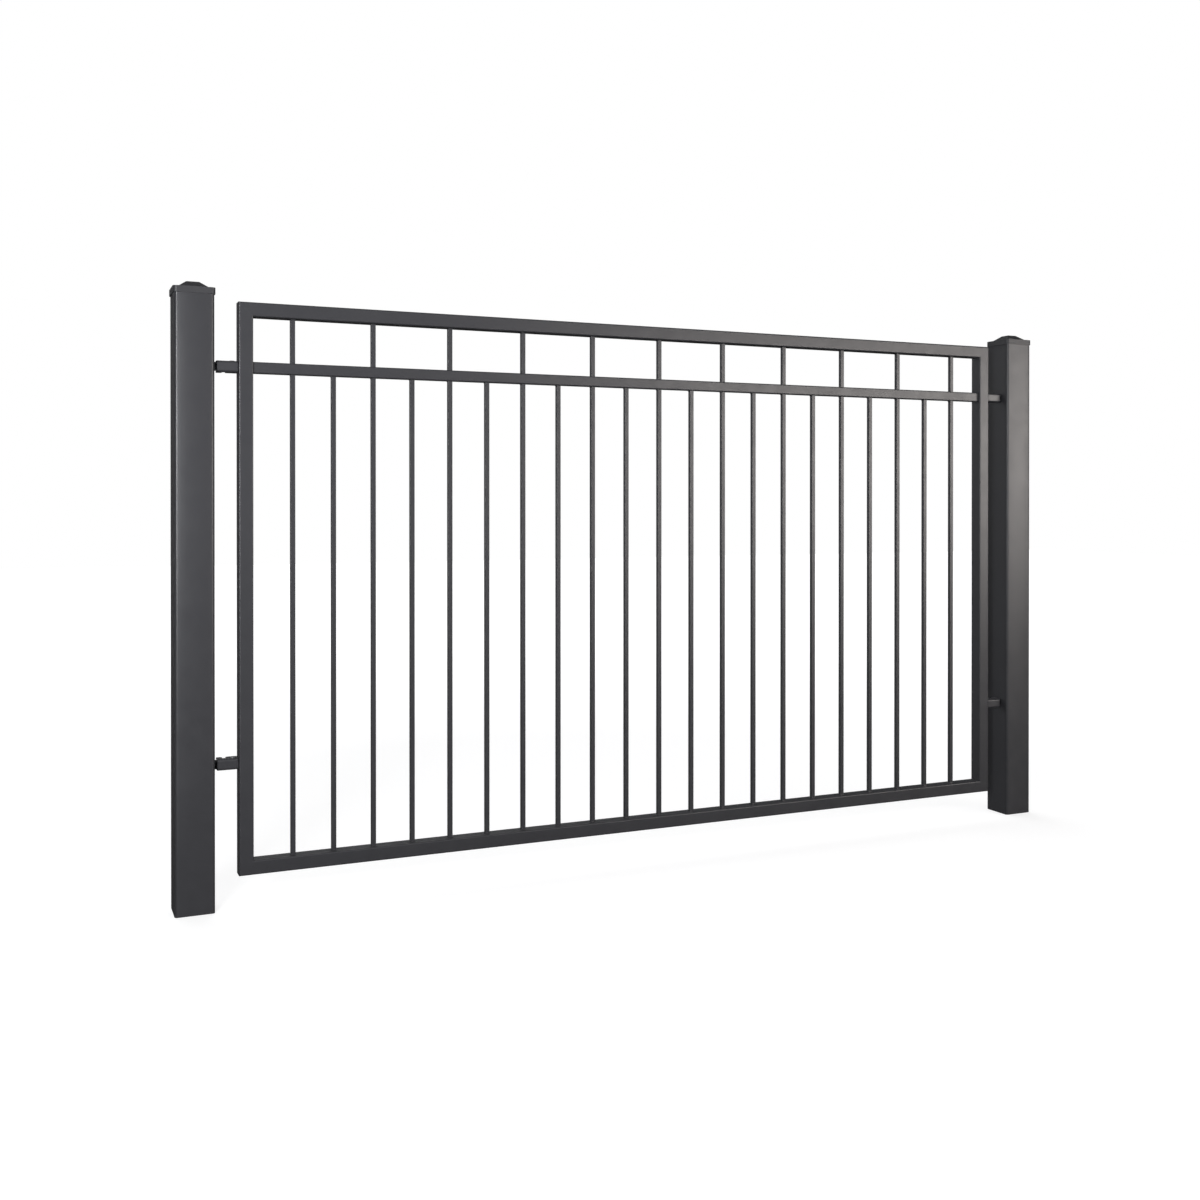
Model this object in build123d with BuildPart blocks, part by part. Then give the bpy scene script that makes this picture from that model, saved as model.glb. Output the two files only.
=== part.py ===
# Steel fence bay: a welded panel of square bars carried between two capped posts.
# Millimetres. +X runs along the fence, +Y to its back and +Z up.
# The origin lies on the left post's axis at ground level.
import os
from math import atan2, degrees

from build123d import *

# Panel frame: rectangular tube, mitred at the corners
panel_width = 1970
panel_height = 1200
ground_clearance = 66
tube_face = 30
tube_depth = 35
tube_wall = 2
tube_bend = 1  # inside corner radius

# Middle rail: a smaller tube between the stiles, punched for the tall bars
mid_rail_height = 24
mid_rail_depth = 20
mid_rail_wall = 1.5
mid_rail_bend = 1
top_band = 94  # clear height between the middle rail and the top rail

# Bars: square steel, every other one tall
bar_size = 10
bar_corner = 0.8
bar_count = 21
bar_end_gap = 79  # clear space between a stile and the first bar
punch_play = 0.2

# Posts: square tube, open at the foot
post_size = 80
post_wall = 2
post_bend = 4
post_rise = 21  # the post's rim above the panel
post_gap = 50  # clear space between a post and the panel
panel_setting = -8  # the panel's middle plane, in front of the posts' axes

# Post caps: a moulded shell that sits on the post's rim
cap_wall = 2
cap_play = 0.25
cap_skirt = 11  # how far the skirt hangs below the rim
cap_shoulder = 10  # flat ledge between the skirt and the crown
cap_crown_rise = 14
cap_crown_run = 19  # how far the crown's sides lean inward
cap_hip_round = 5
cap_top_round = 6
cap_foot_round = 5

# Brackets: a link bolted to the stile's ear and hooked over a pin in the post's ear
link_length = 42
link_height = 24
link_depth = 26
link_corner = 2
link_play = 1  # between the link and the stile
sheet = 3
sheet_bend = 2
bolt_edge = 10.5  # bolt axis from the link's stile end
hook_edge = 15  # pin axis from the link's post end
hook_width = 7
hook_lip = 5
ear_edge = 7  # bolt or pin axis from the ear's tip
ear_play = 0.5
lower_bracket = 235  # the lower bracket's middle above the panel's underside

# Places worked out from the sizes above
panel_left = post_size / 2 + post_gap
panel_right = panel_left + panel_width
right_post_x = panel_right + post_gap + post_size / 2
panel_bottom = ground_clearance
panel_top = panel_bottom + panel_height
post_height = panel_top + post_rise
bars_foot = panel_bottom + tube_face
mid_rail_top = panel_top - tube_face - top_band
mid_rail_bottom = mid_rail_top - mid_rail_height
first_bar = panel_left + tube_face + bar_end_gap + bar_size / 2
last_bar = panel_right - tube_face - bar_end_gap - bar_size / 2
bar_pitch = (last_bar - first_bar) / (bar_count - 1)
bar_places = [first_bar + i * bar_pitch for i in range(bar_count)]
tall_places = bar_places[0::2]
upper_bracket_z = (mid_rail_bottom + mid_rail_top) / 2
lower_bracket_z = panel_bottom + lower_bracket


def tube_section(width, depth, wall, bend):
    RectangleRounded(width, depth, bend + wall)
    RectangleRounded(width - 2 * wall, depth - 2 * wall, bend, mode=Mode.SUBTRACT)


def post(x):
    with BuildPart() as tube:
        with BuildSketch(Plane((x, 0, 0))):
            tube_section(post_size, post_size, post_wall, post_bend)
        extrude(amount=post_height)
    return tube.part


# The cap's skirt hangs over the post. Its crown rises from the flat shoulder
# through a hollow curve, with rounded hips and a rounded flat top.
def post_cap(x):
    skirt_foot = post_height - cap_skirt
    shoulder = post_height + cap_wall
    crown_top = shoulder + cap_crown_rise
    pocket_size = post_size + 2 * cap_play
    pocket_corner = post_wall + post_bend + cap_play
    outer_size = pocket_size + 2 * cap_wall
    crown_foot = outer_size - 2 * cap_shoulder
    lean = degrees(atan2(cap_crown_run, cap_crown_rise))
    with BuildPart() as cap:
        with BuildSketch(Plane((x, 0, skirt_foot))):
            RectangleRounded(outer_size, outer_size, pocket_corner + cap_wall)
        extrude(amount=shoulder - skirt_foot)
        with BuildSketch(Plane((x, 0, shoulder))):
            Rectangle(crown_foot, crown_foot)
        extrude(amount=cap_crown_rise, taper=lean)
        crown_sides = cap.edges().filter_by_position(Axis.Z, shoulder, crown_top, (False, False))
        fillet(crown_sides, radius=cap_hip_round)
        fillet(cap.edges().group_by(Axis.Z)[-1], radius=cap_top_round)
        ledge = cap.faces().filter_by(Axis.Z).filter_by_position(Axis.Z, shoulder, shoulder)[0]
        fillet(ledge.inner_wires()[0].edges(), radius=cap_foot_round)
        with BuildSketch(Plane((x, 0, skirt_foot))):
            RectangleRounded(pocket_size, pocket_size, pocket_corner)
        extrude(amount=cap_skirt, mode=Mode.SUBTRACT)
        with BuildSketch(Plane((x, 0, post_height))):
            Rectangle(crown_foot - 2 * cap_wall, crown_foot - 2 * cap_wall)
        extrude(amount=cap_crown_rise, taper=lean, mode=Mode.SUBTRACT)
    return cap.part


# Each end of a frame piece is cut on the plane that halves the frame's corner.
def frame_rail(outer_z, inward_z):
    middle_z = outer_z + inward_z * tube_face / 2
    with BuildPart() as rail:
        with BuildSketch(Plane((panel_left, panel_setting, middle_z), (0, 0, 1), (1, 0, 0))):
            tube_section(tube_face, tube_depth, tube_wall, tube_bend)
        extrude(amount=panel_width)
        for corner_x, inward_x in ((panel_left, 1), (panel_right, -1)):
            mitre = Plane((corner_x, panel_setting, outer_z), z_dir=(inward_x, 0, -inward_z))
            split(bisect_by=mitre, keep=Keep.TOP)
    return rail.part


def frame_stile(outer_x, inward_x):
    middle_x = outer_x + inward_x * tube_face / 2
    with BuildPart() as stile:
        with BuildSketch(Plane((middle_x, panel_setting, panel_bottom))):
            tube_section(tube_face, tube_depth, tube_wall, tube_bend)
        extrude(amount=panel_height)
        for corner_z, inward_z in ((panel_bottom, 1), (panel_top, -1)):
            mitre = Plane((outer_x, panel_setting, corner_z), z_dir=(-inward_x, 0, inward_z))
            split(bisect_by=mitre, keep=Keep.TOP)
    return stile.part


def middle_rail():
    rail_left = panel_left + tube_face
    rail_middle = (mid_rail_bottom + mid_rail_top) / 2
    punch = bar_size + 2 * punch_play
    with BuildPart() as rail:
        with BuildSketch(Plane((rail_left, panel_setting, rail_middle), (0, 0, 1), (1, 0, 0))):
            tube_section(mid_rail_height, mid_rail_depth, mid_rail_wall, mid_rail_bend)
        extrude(amount=panel_width - 2 * tube_face)
        with BuildSketch(Plane((0, panel_setting, mid_rail_bottom))):
            with Locations([(x, 0) for x in tall_places]):
                Rectangle(punch, punch)
        extrude(amount=mid_rail_height, mode=Mode.SUBTRACT)
    return rail.part


def bar(x, head):
    with BuildPart() as square_bar:
        with BuildSketch(Plane((x, panel_setting, bars_foot))):
            RectangleRounded(bar_size, bar_size, bar_corner)
        extrude(amount=head - bars_foot)
    return square_bar.part


# A bent channel: its web lies on the section's own Y axis, its legs along X.
def channel(section, height, reach, length):
    outer = height / 2
    inner = outer - sheet
    with BuildPart() as bent:
        with BuildSketch(section):
            with BuildLine():
                back = FilletPolyline(
                    (reach, outer), (0, outer), (0, -outer), (reach, -outer), radius=sheet_bend + sheet
                )
                Line(back @ 1, back @ 0)
            make_face()
            with BuildLine():
                hollow = FilletPolyline(
                    (reach, inner), (sheet, inner), (sheet, -inner), (reach, -inner), radius=sheet_bend
                )
                Line(hollow @ 1, hollow @ 0)
            make_face(mode=Mode.SUBTRACT)
        extrude(amount=length / 2, both=True)
    return bent.part


# The link's legs are slotted from the back, to hook over the pin in the post's ear.
def hooked_link(middle_x, pin_x, z):
    front = panel_setting - link_depth / 2
    with BuildPart() as link:
        add(channel(Plane((middle_x, front, z), (0, 1, 0), (1, 0, 0)), link_height, link_depth, link_length))
        fillet(link.edges().filter_by(Axis.Z).group_by(Axis.Y)[-1], radius=link_corner)
        with BuildSketch(Plane((pin_x, panel_setting, z - link_height / 2))):
            Circle(hook_width / 2)
            Rectangle(hook_width, link_depth / 2, align=(Align.CENTER, Align.MIN))
        extrude(amount=link_height, mode=Mode.SUBTRACT)
        back_corners = link.edges().filter_by(Axis.Z).group_by(Axis.Y)[-1]
        lips = back_corners.filter_by_position(Axis.X, pin_x - hook_width, pin_x + hook_width)
        fillet(lips, radius=hook_lip)
    return link.part


# One bracket: out is -1 toward the left post and +1 toward the right one.
def bracket(stile_face, out, z):
    post_face = stile_face + out * post_gap
    link_middle = stile_face + out * (link_play + link_length / 2)
    pin_x = stile_face + out * (link_play + link_length - hook_edge)
    ear_height = link_height - 2 * sheet
    ear_width = link_depth - 2 * (sheet + sheet_bend + ear_play)
    ear_back = panel_setting + ear_width / 2
    stile_reach = link_play + bolt_edge + ear_edge
    post_reach = post_gap - link_play - link_length + hook_edge + ear_edge
    post_plane = Plane((post_face - out * post_reach / 2, ear_back, z), (0, -1, 0), (1, 0, 0))
    stile_plane = Plane((stile_face + out * stile_reach / 2, ear_back, z), (0, -1, 0), (1, 0, 0))
    return {
        "link": hooked_link(link_middle, pin_x, z),
        "post_ear": channel(post_plane, ear_height, ear_width, post_reach),
        "stile_ear": channel(stile_plane, ear_height, ear_width, stile_reach),
    }


pieces = {
    "left_post": post(0),
    "right_post": post(right_post_x),
    "left_post_cap": post_cap(0),
    "right_post_cap": post_cap(right_post_x),
    "top_rail": frame_rail(panel_top, -1),
    "bottom_rail": frame_rail(panel_bottom, 1),
    "left_stile": frame_stile(panel_left, 1),
    "right_stile": frame_stile(panel_right, -1),
    "middle_rail": middle_rail(),
}
for number, place in enumerate(bar_places, start=1):
    if place in tall_places:
        pieces[f"tall_bar_{number:02d}"] = bar(place, panel_top - tube_face)
    else:
        pieces[f"short_bar_{number:02d}"] = bar(place, mid_rail_bottom)
for side, stile_face, out in (("left", panel_left, -1), ("right", panel_right, 1)):
    for level, height in (("upper", upper_bracket_z), ("lower", lower_bracket_z)):
        for piece_name, piece in bracket(stile_face, out, height).items():
            pieces[f"{side}_{level}_{piece_name}"] = piece

os.makedirs("parts", exist_ok=True)
for name, piece in pieces.items():
    piece.label = name
    export_step(piece, f"parts/{name}.step")
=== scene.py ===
import math

import bmesh
import bpy
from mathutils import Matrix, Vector


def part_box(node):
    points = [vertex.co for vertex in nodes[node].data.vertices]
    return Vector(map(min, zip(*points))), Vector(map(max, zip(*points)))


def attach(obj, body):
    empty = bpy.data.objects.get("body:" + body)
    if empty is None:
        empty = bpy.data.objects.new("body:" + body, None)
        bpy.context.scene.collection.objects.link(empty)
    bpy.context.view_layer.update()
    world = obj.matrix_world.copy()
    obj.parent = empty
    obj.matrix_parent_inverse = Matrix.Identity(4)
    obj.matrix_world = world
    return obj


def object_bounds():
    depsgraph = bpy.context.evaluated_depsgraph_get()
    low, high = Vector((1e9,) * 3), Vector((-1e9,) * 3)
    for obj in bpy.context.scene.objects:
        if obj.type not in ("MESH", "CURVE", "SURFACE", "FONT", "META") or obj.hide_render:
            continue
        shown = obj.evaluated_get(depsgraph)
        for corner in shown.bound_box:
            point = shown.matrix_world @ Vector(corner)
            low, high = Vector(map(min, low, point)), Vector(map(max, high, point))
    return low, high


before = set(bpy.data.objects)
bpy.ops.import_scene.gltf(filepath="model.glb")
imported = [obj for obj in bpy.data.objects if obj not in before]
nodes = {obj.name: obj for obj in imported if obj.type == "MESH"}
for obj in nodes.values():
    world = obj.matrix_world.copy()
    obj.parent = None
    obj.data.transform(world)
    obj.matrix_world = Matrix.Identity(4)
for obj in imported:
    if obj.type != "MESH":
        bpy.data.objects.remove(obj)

cadBox = [list(corner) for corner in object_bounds()]
bayMiddle = (cadBox[0][0] + cadBox[1][0]) / 2
scene = bpy.context.scene
scene.view_settings.view_transform = "Standard"
print("fence bay loaded:", len(nodes), "steel and plastic parts")


# small helpers for the shader trees
def emptyTree(owner):
    owner.use_nodes = True
    owner.node_tree.nodes.clear()
    return owner.node_tree


def newTree(name):
    finish = bpy.data.materials.new(name)
    return finish, emptyTree(finish)


def addNode(tree, kind, settings=None, **sockets):
    node = tree.nodes.new("ShaderNode" + kind)
    for key, value in (settings or {}).items():
        setattr(node, key, value)
    for key, value in sockets.items():
        node.inputs[key.replace("_", " ")].default_value = value
    return node


def wire(tree, source, output, target, socket):
    tree.links.new(source.outputs[output], target.inputs[socket])


# a Math or VectorMath node: each term is a node with its output, or a fixed vector
def combine(tree, kind, operation, *terms):
    node = addNode(tree, kind, {"operation": operation})
    for socket, term in enumerate(terms):
        if len(term) == 2:
            wire(tree, *term, node, socket)
        else:
            node.inputs[socket].default_value = term
    return node


def noiseAt(tree, place, scale, detail, roughness=0.5):
    noise = addNode(tree, "TexNoise", Scale=scale, Detail=detail, Roughness=roughness)
    wire(tree, place, "Object", noise, "Vector")
    return noise


def spanOf(tree, source, output, low, high, fromLow=0.3, fromHigh=0.7):
    span = addNode(tree, "MapRange", From_Min=fromLow, From_Max=fromHigh, To_Min=low, To_Max=high)
    wire(tree, source, output, span, "Value")
    return span


def toneRamp(tree, source, output, low, high, span=(0.0, 1.0)):
    ramp = addNode(tree, "ValToRGB")
    for stop, tone, at in zip(ramp.color_ramp.elements, (low, high), span):
        stop.position = at
        stop.color = tone + (1,)
    wire(tree, source, output, ramp, "Fac")
    return ramp


def bumpOf(tree, noise, depth):
    bump = addNode(tree, "Bump", Strength=1.0, Distance=depth)
    wire(tree, noise, "Fac", bump, "Height")
    return bump


def showSurface(tree, shader, output):
    out = addNode(tree, "OutputMaterial")
    wire(tree, shader, output, out, "Surface")


def layFinish(tree, tone, toneOutput, rough, bump, **sockets):
    shader = addNode(tree, "BsdfPrincipled", **sockets)
    wire(tree, tone, toneOutput, shader, "Base Color")
    wire(tree, rough, "Result", shader, "Roughness")
    wire(tree, bump, "Normal", shader, "Normal")
    showSurface(tree, shader, "BSDF")


edgeTurn = (0.78, 0.995)  # true and rounded normal compared, on a sharp corner and on a flat face


# how much of an edge is near: 1 on a sharp corner, 0 on a flat face
def edgeMask(tree, reach):
    rounded = addNode(tree, "Bevel", {"samples": 4}, Radius=reach)
    face = addNode(tree, "NewGeometry")
    turn = combine(tree, "VectorMath", "DOT_PRODUCT", (rounded, "Normal"), (face, "True Normal"))
    return spanOf(tree, turn, "Value", 1.0, 0.0, *edgeTurn)


# satin powder coat: cloudy tone, fine peel, and paler edges where the coat pulls thin, which also serve as a
# painted edge highlight
coat = {
    "tone": (0.0345, 0.0347, 0.0380), "deepTone": (0.0315, 0.0317, 0.0350),
    "cloudSize": 7.0, "cloudSpan": (0.32, 0.68),
    # paler corner tone: partly wear, partly a painted edge highlight
    "edgeWearAndHighlightTone": (0.0700, 0.0705, 0.0740), "edgeReach": 0.0016, "wearAndHighlightShare": 0.35,
    "breakSize": 60.0, "breakLow": 0.25,
    "roughness": 0.35, "roughnessPlay": 0.03, "flowSize": 34.0, "gloss": 0.5,
    "peelSize": 380.0, "peelDepth": 0.000035, "grainSize": 2400.0, "grainDepth": 0.000012,
    "postCrown": 0.085,  # half the lean of a post's face at its corners, in radians
}
mixSocket = {"share": 0, "from": 6, "to": 7, "mixed": 2}  # places of a Mix node's colour sockets


# the rolled tube's front and back fall away a little toward its corners
def crownedNormal(tree, place, crown):
    face = addNode(tree, "NewGeometry")
    across = combine(tree, "VectorMath", "MULTIPLY_ADD",
                     (place, "Generated"), (2.0, 0.0, 0.0), (-1.0, 0.0, 0.0))  # -1 to 1 over the face
    square = combine(tree, "VectorMath", "MULTIPLY", (across, "Vector"), (across, "Vector"))
    cube = combine(tree, "VectorMath", "MULTIPLY", (square, "Vector"), (across, "Vector"))
    both = combine(tree, "VectorMath", "ADD", (across, "Vector"), (cube, "Vector"))
    lean = combine(tree, "VectorMath", "MULTIPLY_ADD", (both, "Vector"), (crown, 0.0, 0.0), (face, "Normal"))
    return combine(tree, "VectorMath", "NORMALIZE", (lean, "Vector"))


def coatedSteel(name, look, crown=0.0):
    finish, tree = newTree(name)
    place = addNode(tree, "TexCoord")
    cloud = noiseAt(tree, place, look["cloudSize"], 4.0, 0.6)
    tone = toneRamp(tree, cloud, "Fac", look["deepTone"], look["tone"], look["cloudSpan"])

    # corners painted paler, partly for the thin coat there and partly as a painted highlight along the
    # edges, broken up along their length
    corner = edgeMask(tree, look["edgeReach"])
    breaks = spanOf(tree, noiseAt(tree, place, look["breakSize"], 3.0), "Fac", look["breakLow"], 1.0)
    wearAndHighlight = combine(tree, "Math", "MULTIPLY", (corner, "Result"), (breaks, "Result"))
    share = spanOf(tree, wearAndHighlight, "Value", 0.0, look["wearAndHighlightShare"], 0.0, 1.0)
    wornAndHighlightedEdges = addNode(tree, "Mix", {"data_type": "RGBA"})
    wire(tree, share, "Result", wornAndHighlightedEdges, mixSocket["share"])
    wire(tree, tone, "Color", wornAndHighlightedEdges, mixSocket["from"])
    wornAndHighlightedEdges.inputs[mixSocket["to"]].default_value = look["edgeWearAndHighlightTone"] + (1,)

    flow = noiseAt(tree, place, look["flowSize"], 3.0)
    rough = spanOf(tree, flow, "Fac", look["roughness"] - look["roughnessPlay"],
                   look["roughness"] + look["roughnessPlay"])

    peelBump = bumpOf(tree, noiseAt(tree, place, look["peelSize"], 1.0), look["peelDepth"])
    grainBump = bumpOf(tree, noiseAt(tree, place, look["grainSize"], 2.0), look["grainDepth"])
    wire(tree, grainBump, "Normal", peelBump, "Normal")
    if crown:
        wire(tree, crownedNormal(tree, place, crown), "Vector", grainBump, "Normal")

    layFinish(tree, wornAndHighlightedEdges, mixSocket["mixed"], rough, peelBump, Specular_IOR_Level=look["gloss"])
    return finish


# moulded cap plastic: spark grain from the mould, a little paler on the ridges
capPlastic = {
    "tone": (0.0330, 0.0333, 0.0362), "paleTone": (0.0430, 0.0433, 0.0462),
    "cloudSize": 22.0, "mottle": 0.4, "edgeReach": 0.002,
    "roughness": 0.44, "roughnessPlay": 0.05, "gloss": 0.45,
    "grainSize": 1300.0, "grainDepth": 0.00004,
}


def mouldedPlastic(name, look):
    finish, tree = newTree(name)
    place = addNode(tree, "TexCoord")
    spark = noiseAt(tree, place, look["grainSize"], 3.0, 0.6)
    cloud = noiseAt(tree, place, look["cloudSize"], 3.0)
    ridge = edgeMask(tree, look["edgeReach"])
    mottle = spanOf(tree, cloud, "Fac", 0.0, look["mottle"])
    lift = combine(tree, "Math", "MAXIMUM", (mottle, "Result"), (ridge, "Result"))
    tone = toneRamp(tree, lift, "Value", look["tone"], look["paleTone"])
    rough = spanOf(tree, spark, "Fac", look["roughness"] - look["roughnessPlay"],
                   look["roughness"] + look["roughnessPlay"])
    bump = bumpOf(tree, spark, look["grainDepth"])
    layFinish(tree, tone, "Color", rough, bump, Specular_IOR_Level=look["gloss"])
    return finish


# zinc plate on the bolts and pins: grey metal, faint turning marks and dull patches
zincPlate = {
    "tone": (0.30, 0.305, 0.315), "dullTone": (0.20, 0.203, 0.21),
    "patchSize": 210.0, "patchSpan": (0.35, 0.6),
    "roughness": 0.26, "roughnessPlay": 0.08, "markSize": 3200.0, "markDepth": 0.000015,
}


def platedSteel(name, look):
    finish, tree = newTree(name)
    place = addNode(tree, "TexCoord")
    patch = noiseAt(tree, place, look["patchSize"], 4.0, 0.6)
    tone = toneRamp(tree, patch, "Fac", look["dullTone"], look["tone"], look["patchSpan"])
    rough = spanOf(tree, patch, "Fac", look["roughness"] + look["roughnessPlay"],
                   look["roughness"] - look["roughnessPlay"])
    bump = bumpOf(tree, noiseAt(tree, place, look["markSize"], 2.0), look["markDepth"])
    layFinish(tree, tone, "Color", rough, bump, Metallic=1.0)
    return finish


panelCoat = coatedSteel("panelCoat", coat)
postCoat = coatedSteel("postCoat", coat, coat["postCrown"])
capFinish = mouldedPlastic("capPlastic", capPlastic)
boltFinish = platedSteel("zincPlate", zincPlate)


def dressNode(name, finish):
    slots = nodes[name].data.materials
    slots.clear()
    slots.append(finish)


for name in nodes:
    if name.endswith("_post_cap"):
        dressNode(name, capFinish)
    elif name.endswith("_post"):
        dressNode(name, postCoat)
    else:
        dressNode(name, panelCoat)
print("finishes laid on posts, caps, frame, bars and brackets")


def placeMesh(name, mesh, finish):
    shape = bpy.data.meshes.new(name)
    mesh.to_mesh(shape)
    mesh.free()
    shape.materials.append(finish)
    holder = bpy.data.objects.new(name, shape)
    scene.collection.objects.link(holder)
    return holder


def newPiece(name, mesh, finish):
    bmesh.ops.recalc_face_normals(mesh, faces=mesh.faces[:])
    piece = placeMesh(name, mesh, finish)
    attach(piece, "root")


# skins a row of rings; a ring of one point closes an end
def joinRings(mesh, rings, smooth=True):
    for low, high in zip(rings, rings[1:]):
        sides = max(len(low), len(high))
        for i in range(sides):
            j = (i + 1) % sides
            corners = [low[i % len(low)], low[j % len(low)], high[j % len(high)], high[i % len(high)]]
            face = mesh.faces.new(list(dict.fromkeys(corners)))
            face.smooth = smooth


def spoke(angle, radius, height):
    return Vector((radius * math.cos(angle), radius * math.sin(angle), height))


# a turned shape: (radius, height) pairs from axis to axis, closed at both ends
def turned(mesh, profile, axis, sides):
    rings = []
    for radius, height in profile:
        count = sides if radius else 1
        points = [axis + spoke(2 * math.pi * i / sides, radius, height) for i in range(count)]
        rings.append([mesh.verts.new(point) for point in points])
    joinRings(mesh, rings)


# low dome bolts of the brackets: head on the link, nut under the stile ear's upper leg
bolt = {
    "headAcross": 0.0120, "headRise": 0.0014, "rim": 0.0005, "rimFoot": 0.0002, "underCut": 0.0003,
    "shank": 0.005, "grip": 0.0060, "threadStart": 0.0005, "threadPitch": 0.0008, "threadTurns": 6,
    "threadDepth": 0.00045, "tipTaper": 0.0008, "sides": 40, "headSteps": 8,
    "nutAcross": 0.008, "nutRise": 0.004, "nutBite": 0.0003, "nutFace": 0.94, "nutSides": 36,
    "chamferFrom": 0.98, "chamferAngle": 30,
    "edge": 0.0105, "forward": 0.0015,
}


def domeBolt(mesh, seat, look):
    radius, rise, rim = look["headAcross"] / 2, look["headRise"], look["rim"]
    stem, pitch, taper = look["shank"] / 2, look["threadPitch"], look["tipTaper"]
    profile = [(0, rise)]
    for step in range(1, look["headSteps"] + 1):
        angle = math.radians(90) * step / look["headSteps"]
        profile.append((radius * math.sin(angle), rim + (rise - rim) * math.cos(angle)))
    profile += [(radius, look["rimFoot"]), (radius - look["underCut"], 0.0), (stem, 0.0)]
    crest = look["threadStart"] - look["grip"]
    profile.append((stem, crest))
    for turn in range(look["threadTurns"]):
        profile.append((stem - look["threadDepth"], crest - pitch * (turn + 0.5)))
        profile.append((stem, crest - pitch * (turn + 1)))
    tip = crest - pitch * look["threadTurns"] - taper
    profile += [(stem - taper, tip), (0, tip)]
    turned(mesh, profile, seat, look["sides"])


# hexagon nut with its corners turned off, as the real chamfer cuts them
def hexNut(mesh, seat, look):
    flat, foot = look["nutAcross"] / 2, -look["nutRise"]
    hole, face = look["shank"] / 2 - look["nutBite"], flat * look["nutFace"]
    chamfer = math.tan(math.radians(look["chamferAngle"]))
    sixth = math.radians(60)
    rings = []
    # height, radius (none follows the hexagon) and how steeply the corners are cut
    for height, radius, slope in ((0.0, hole, 0.0), (0.0, face, 0.0), (0.0, None, -chamfer),
                                  (foot, None, chamfer), (foot, face, 0.0), (foot, hole, 0.0)):
        ring = []
        for i in range(look["nutSides"]):
            angle = 2 * math.pi * i / look["nutSides"]
            lean = (angle + sixth / 2) % sixth - sixth / 2
            reach = flat / math.cos(lean)
            cut = slope * max(0.0, reach - flat * look["chamferFrom"])
            ring.append(mesh.verts.new(seat + spoke(angle + sixth / 2, radius or reach, height + cut)))
        rings.append(ring)
    joinRings(mesh, rings + rings[:1], smooth=False)


# turned pin of the post ear, which the link hooks over: chamfered, with a ring groove at each end
pin = {
    "across": 0.006, "length": 0.023, "chamfer": 0.0007, "groove": 0.0004, "grooveAt": 0.0022,
    "edge": 0.015, "sides": 40,
}


def hookPin(mesh, middle, look):
    radius, end, cut = look["across"] / 2, look["length"] / 2, look["groove"]
    ring = end - look["grooveAt"]
    half = [(radius - look["chamfer"], end), (radius, end - look["chamfer"]), (radius, ring),
            (radius - cut, ring - cut), (radius - cut, ring - 2 * cut), (radius, ring - 3 * cut)]
    mirrored = [(reach, -height) for reach, height in reversed(half)]
    turned(mesh, [(0, end)] + half + mirrored + [(0, -end)], middle, look["sides"])


for side in ("left", "right"):
    for level in ("upper", "lower"):
        low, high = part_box(f"{side}_{level}_link")
        middle = (low + high) / 2
        toStile = 1 if side == "left" else -1
        stileEnd, postEnd = (high.x, low.x) if side == "left" else (low.x, high.x)
        seat = Vector((stileEnd - toStile * bolt["edge"], middle.y - bolt["forward"], high.z))
        mesh = bmesh.new()
        domeBolt(mesh, seat, bolt)
        hexNut(mesh, seat - Vector((0, 0, bolt["grip"])), bolt)
        newPiece(f"{side}_{level}_bolt", mesh, boltFinish)
        mesh = bmesh.new()
        hookPin(mesh, Vector((postEnd + toStile * pin["edge"], middle.y, middle.z)), pin)
        newPiece(f"{side}_{level}_pin", mesh, boltFinish)
print("bolts and pins set in the four brackets")


# weld beads, under the coat like the steel they join; the front stays clean
weld = {
    "leg": 0.0021, "earLeg": 0.0018, "ripple": 0.10, "ripplePitch": 0.0019, "ringsPerRipple": 4,
    "sides": 10, "overrun": 0.0008, "taper": 6, "railInset": 0.002, "earInset": 0.001,
}


def weldBead(mesh, start, end, leg, look):
    run = end - start
    along = run.normalized()
    across = along.orthogonal().normalized()
    other = along.cross(across)
    length = run.length + 2 * look["overrun"]
    ripples = round(length / look["ripplePitch"])
    steps = ripples * look["ringsPerRipple"]
    foot = start - along * look["overrun"]
    rings = [[mesh.verts.new(foot)]]
    for step in range(1, steps):
        part = step / steps
        swell = math.sqrt(1 - abs(2 * part - 1) ** look["taper"])  # beads taper off at both ends
        wave = 1 + look["ripple"] * math.cos(2 * math.pi * part * ripples)
        radius = leg * swell * wave
        centre = foot + along * (length * part)
        ring = []
        for i in range(look["sides"]):
            angle = 2 * math.pi * i / look["sides"]
            outward = across * math.cos(angle) + other * math.sin(angle)
            ring.append(mesh.verts.new(centre + outward * radius))
        rings.append(ring)
    rings.append([mesh.verts.new(foot + along * length)])
    joinRings(mesh, rings)


bars = sorted(name for name in nodes if "_bar_" in name)
tallBars = [name for name in bars if name.startswith("tall")]
midLow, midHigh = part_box("middle_rail")
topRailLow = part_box("top_rail")[0]
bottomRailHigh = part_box("bottom_rail")[1]


def barWelds(pieceName, names, height):
    mesh = bmesh.new()
    for name in names:
        low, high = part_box(name)
        start, end = Vector((low.x, high.y, height)), Vector((high.x, high.y, height))
        weldBead(mesh, start, end, weld["leg"], weld)
    newPiece(pieceName, mesh, panelCoat)


barWelds("bar_foot_welds", bars, bottomRailHigh.z)
barWelds("middle_rail_under_welds", bars, midLow.z)
barWelds("middle_rail_top_welds", tallBars, midHigh.z)
barWelds("top_rail_welds", tallBars, topRailLow.z)

mesh = bmesh.new()
for x in (midLow.x, midHigh.x):
    start = Vector((x, midHigh.y, midLow.z + weld["railInset"]))
    end = Vector((x, midHigh.y, midHigh.z - weld["railInset"]))
    weldBead(mesh, start, end, weld["leg"], weld)
newPiece("middle_rail_end_welds", mesh, panelCoat)

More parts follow.
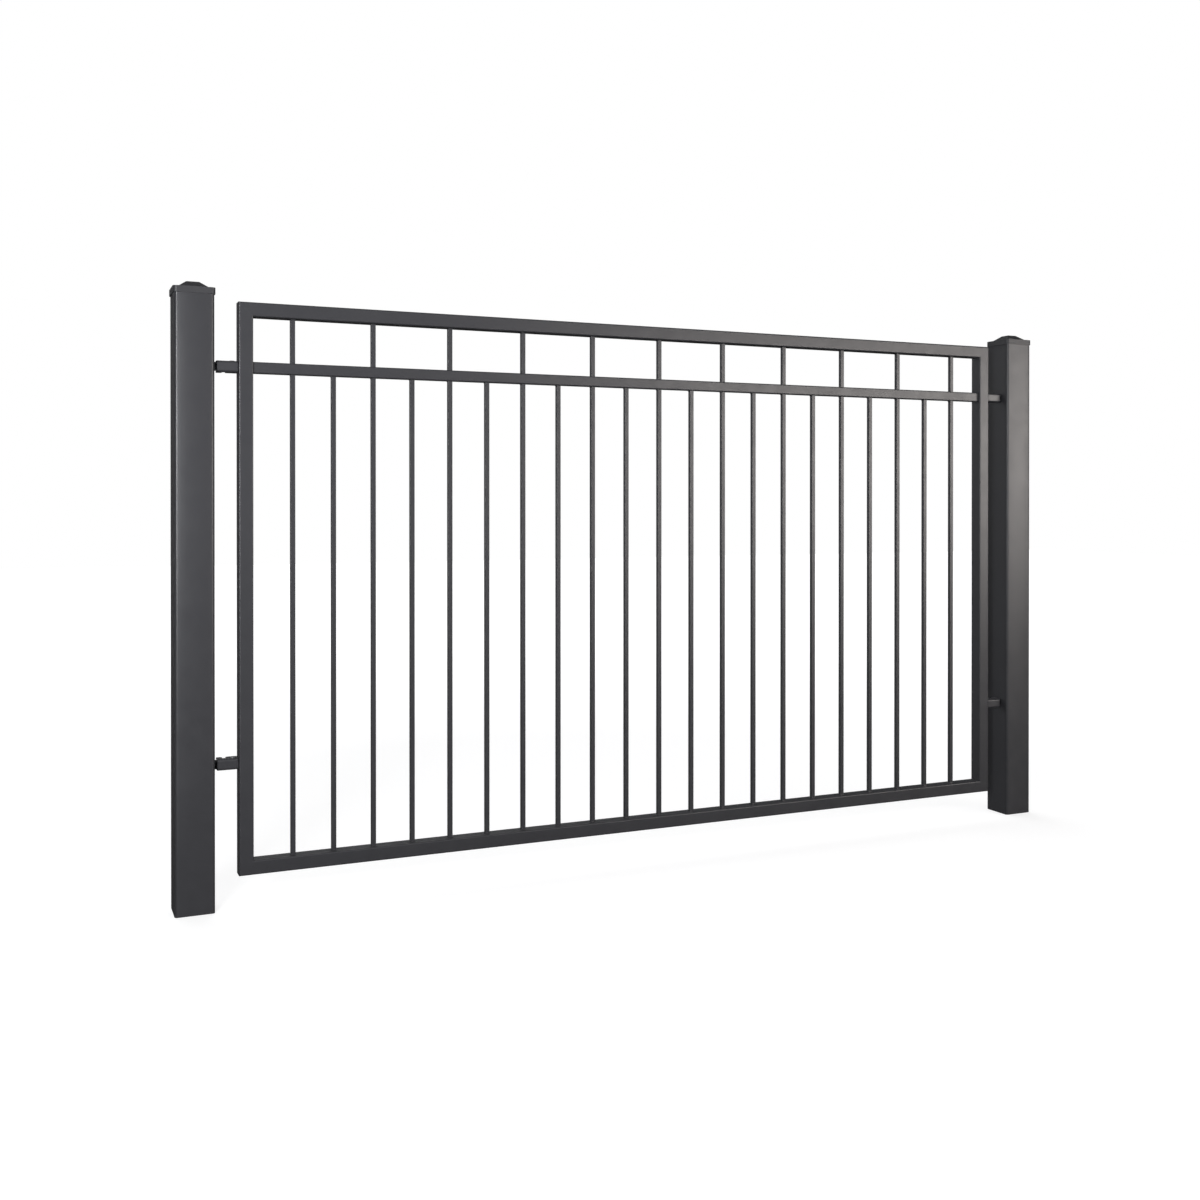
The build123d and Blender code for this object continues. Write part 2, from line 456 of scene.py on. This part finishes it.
mesh = bmesh.new()
for side in ("left", "right"):
    postLow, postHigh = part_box(f"{side}_post")
    x = postHigh.x if side == "left" else postLow.x
    for level in ("upper", "lower"):
        low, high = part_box(f"{side}_{level}_post_ear")
        for z in (low.z, high.z):
            start = Vector((x, low.y + weld["earInset"], z))
            end = Vector((x, high.y - weld["earInset"], z))
            weldBead(mesh, start, end, weld["earLeg"], weld)
newPiece("post_ear_welds", mesh, panelCoat)
print("weld beads run on", len(bars), "bars, the middle rail and the post ears")


# pale floor: white to the eye, with the bay's own faint shadow on it
floorLook = {"across": 30.0, "drop": 0.0005, "shade": 0.40, "glow": 0.72, "clearFrom": 1.6, "clearTo": 4.5}


def seenRays(tree):
    path = addNode(tree, "LightPath")
    direct = combine(tree, "Math", "MAXIMUM", (path, "Is Camera Ray"), (path, "Is Glossy Ray"))
    return combine(tree, "Math", "MAXIMUM", (direct, "Value"), (path, "Is Transmission Ray"))


def layFloor(look):
    finish, tree = newTree("paleFloor")
    place = addNode(tree, "TexCoord")
    reach = combine(tree, "VectorMath", "LENGTH", (place, "Object"))
    glow = spanOf(tree, reach, "Value", look["glow"], 1.0, look["clearFrom"], look["clearTo"])
    level = combine(tree, "Math", "MULTIPLY", (glow, "Result"), (seenRays(tree), "Value"))
    white = addNode(tree, "Emission", Color=(1, 1, 1, 1))
    wire(tree, level, "Value", white, "Strength")
    matt = addNode(tree, "BsdfDiffuse", Color=(look["shade"],) * 3 + (1,))
    both = addNode(tree, "AddShader")
    wire(tree, white, "Emission", both, 0)
    wire(tree, matt, "BSDF", both, 1)
    showSurface(tree, both, "Shader")

    mesh = bmesh.new()
    bmesh.ops.create_grid(mesh, x_segments=2, y_segments=2, size=look["across"] / 2)
    floor = placeMesh("floor", mesh, finish)
    floor.location = (bayMiddle, 0.0, -look["drop"])


layFloor(floorLook)


# room light: white where it is seen, a low fill on the bay's front and more on its back
room = {"fill": 0.08, "backFill": 3.0, "backSpan": (0.45, 0.85), "fillTone": (0.97, 0.98, 1.0)}


def lightRoom(look):
    world = bpy.data.worlds.new("studio")
    scene.world = world
    tree = emptyTree(world)
    place = addNode(tree, "TexCoord")
    parts = addNode(tree, "SeparateXYZ")
    wire(tree, place, "Generated", parts, "Vector")
    depth = spanOf(tree, parts, "Y", look["fill"], look["backFill"], *look["backSpan"])
    fill = addNode(tree, "Background", Color=look["fillTone"] + (1,))
    wire(tree, depth, "Result", fill, "Strength")
    white = addNode(tree, "Background", Color=(1, 1, 1, 1), Strength=1.0)
    mix = addNode(tree, "MixShader")
    wire(tree, seenRays(tree), "Value", mix, 0)
    wire(tree, fill, "Background", mix, 1)
    wire(tree, white, "Background", mix, 2)
    out = addNode(tree, "OutputWorld")
    wire(tree, mix, "Shader", out, "Surface")


lightRoom(room)


# softboxes: place, aim, width and height in metres, glow as the eye would meet it, tint
softboxes = {
    "leftBox": {"at": (-1.210, -2.510, 1.120), "aim": (0.0, 0.0, 0.92), "size": (0.70, 1.00), "glow": 33.0,
                "tint": (0.97, 0.98, 1.0)},
    "rightBox": {"at": (4.492, -3.630, 1.219), "aim": (1.07, 0.0, 0.86), "size": (3.7, 1.36), "glow": 7.7,
                 "tint": (1.0, 0.945, 0.905)},
    "frontSheet": {"at": (1.280, -5.965, 1.477), "aim": (1.07, 0.0, 0.85), "size": (5.0, 3.6), "glow": 0.70,
                   "tint": (0.88, 0.89, 1.0)},
    "topSheet": {"at": (1.07, -1.5, 4.6), "aim": (1.07, -1.499, 0.0), "size": (6.0, 4.0), "glow": 0.5,
                 "tint": (1.0, 1.0, 1.0)},
    "backSheet": {"at": (1.0, 5.0, 4.0), "aim": (1.07, 0.0, 0.6), "size": (5.0, 2.0), "glow": 1.0,
                  "tint": (1.0, 1.0, 1.0)},
    "backLeftSheet": {"at": (-3.6, 6.4, 1.6), "aim": (1.6, 0.0, 0.85), "size": (4.0, 3.2), "glow": 0.25,
                      "tint": (1.0, 1.0, 1.0)},
}


def hangSoftbox(name, look):
    lamp = bpy.data.lights.new(name, "AREA")
    lamp.shape = "RECTANGLE"
    lamp.size, lamp.size_y = look["size"]
    lamp.energy = look["glow"] * math.pi * look["size"][0] * look["size"][1]
    lamp.color = look["tint"]
    holder = bpy.data.objects.new(name, lamp)
    holder.location = look["at"]
    holder.rotation_euler = (Vector(look["aim"]) - Vector(look["at"])).to_track_quat("-Z", "Y").to_euler()
    holder.visible_camera = False
    scene.collection.objects.link(holder)


for name, look in softboxes.items():
    hangSoftbox(name, look)


# the studio's dark walls: only reflections meet them
walls = {"size": (15.0, 15.0, 8.0), "forward": 0.5, "lift": 0.0005, "tone": 0.02}


def raiseWalls(look):
    finish, tree = newTree("wallCloth")
    cloth = addNode(tree, "Emission", Color=(1, 1, 1, 1), Strength=look["tone"])
    showSurface(tree, cloth, "Emission")

    mesh = bmesh.new()
    bmesh.ops.create_cube(mesh, size=1.0)
    bmesh.ops.scale(mesh, vec=look["size"], verts=mesh.verts[:])
    bmesh.ops.reverse_faces(mesh, faces=mesh.faces[:])
    box = placeMesh("walls", mesh, finish)
    box.location = (bayMiddle, -look["forward"], look["size"][2] / 2 + look["lift"])
    box.visible_camera = False
    box.visible_diffuse = False
    box.visible_shadow = False
    box.visible_transmission = False


raiseWalls(walls)
print("floor, room light,", len(softboxes), "softboxes and dark walls in place")


# camera where the photograph was taken from: turned right and up in radians, lens in millimetres
view = {
    "at": (-0.3071, -2.7895, 0.8481), "right": 0.4156, "up": -0.0040,
    "lens": 38.709, "sensor": 36.0, "shiftY": -0.0775, "reach": 200.0,
}
camera = bpy.data.objects.new("camera", bpy.data.cameras.new("camera"))
camera.location = view["at"]
camera.rotation_euler = (math.pi / 2 + view["up"], 0.0, -view["right"])
camera.data.sensor_fit = "HORIZONTAL"
camera.data.sensor_width = view["sensor"]
camera.data.lens = view["lens"]
camera.data.shift_y = view["shiftY"]
camera.data.clip_end = view["reach"]
scene.collection.objects.link(camera)
scene.camera = camera
print("camera set")
